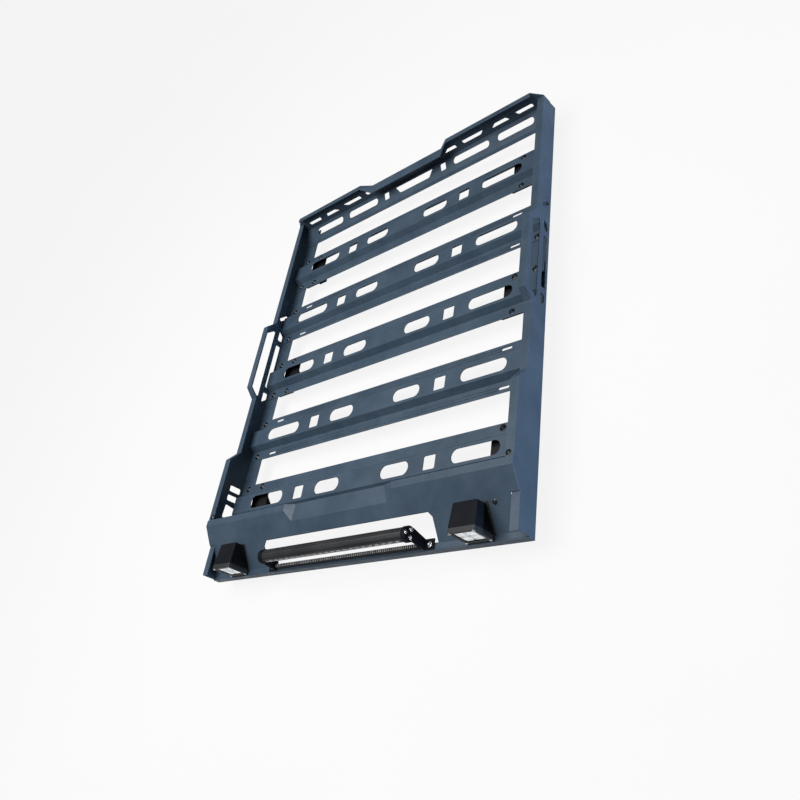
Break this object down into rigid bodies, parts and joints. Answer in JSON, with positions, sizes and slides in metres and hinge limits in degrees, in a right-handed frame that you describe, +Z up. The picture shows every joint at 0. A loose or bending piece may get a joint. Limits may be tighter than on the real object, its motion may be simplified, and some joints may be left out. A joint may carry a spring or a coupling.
{
  "type": "roof basket",
  "caption": "Low folded-sheet roof basket with slotted crossbars, side rails with grab handles, a rear rail, a sloped front fairing, a light bar and corner lights, on padded feet.",
  "frame": {"origin": "middle of the basket on the ground plane under the foot pads", "axes": "+X to the right side seen from behind, +Y to the rear, +Z up"},
  "size_m": [1.25, 1.49, 0.1615],
  "materials": {
    "coated_sheet": "satin slate powder coat",
    "black_housing": "satin black cast housing",
    "black_bracket": "satin black powder coat",
    "clear_lens": "clear polished",
    "rubber": "matt"
  },
  "bodies": {
    "root": {"corner_light_bezel_left": "black_housing", "corner_light_bezel_right": "black_housing", "corner_light_bracket_left": "black_housing", "corner_light_bracket_right": "black_housing", "corner_light_housing_left": "black_housing", "corner_light_housing_right": "black_housing", "corner_light_lens_left": "clear_lens", "corner_light_lens_right": "clear_lens", "crossbar_1": "coated_sheet", "crossbar_2": "coated_sheet", "crossbar_3": "coated_sheet", "crossbar_4": "coated_sheet", "crossbar_5": "coated_sheet", "foot_1_left": "black_bracket", "foot_1_right": "black_bracket", "foot_3_left": "black_bracket", "foot_3_right": "black_bracket", "foot_5_left": "black_bracket", "foot_5_right": "black_bracket", "foot_pad_1_left": "rubber", "foot_pad_1_right": "rubber", "foot_pad_3_left": "rubber", "foot_pad_3_right": "rubber", "foot_pad_5_left": "rubber", "foot_pad_5_right": "rubber", "front_edge_trim": "rubber", "front_fairing": "coated_sheet", "front_lip": "coated_sheet", "light_bar_bracket_left": "black_housing", "light_bar_bracket_right": "black_housing", "light_bar_end_cap_left": "black_housing", "light_bar_end_cap_right": "black_housing", "light_bar_housing": "black_housing", "light_bar_lens": "clear_lens", "rear_rail": "coated_sheet", "side_rail_left": "coated_sheet", "side_rail_right": "coated_sheet"}
  },
  "joints": []
}
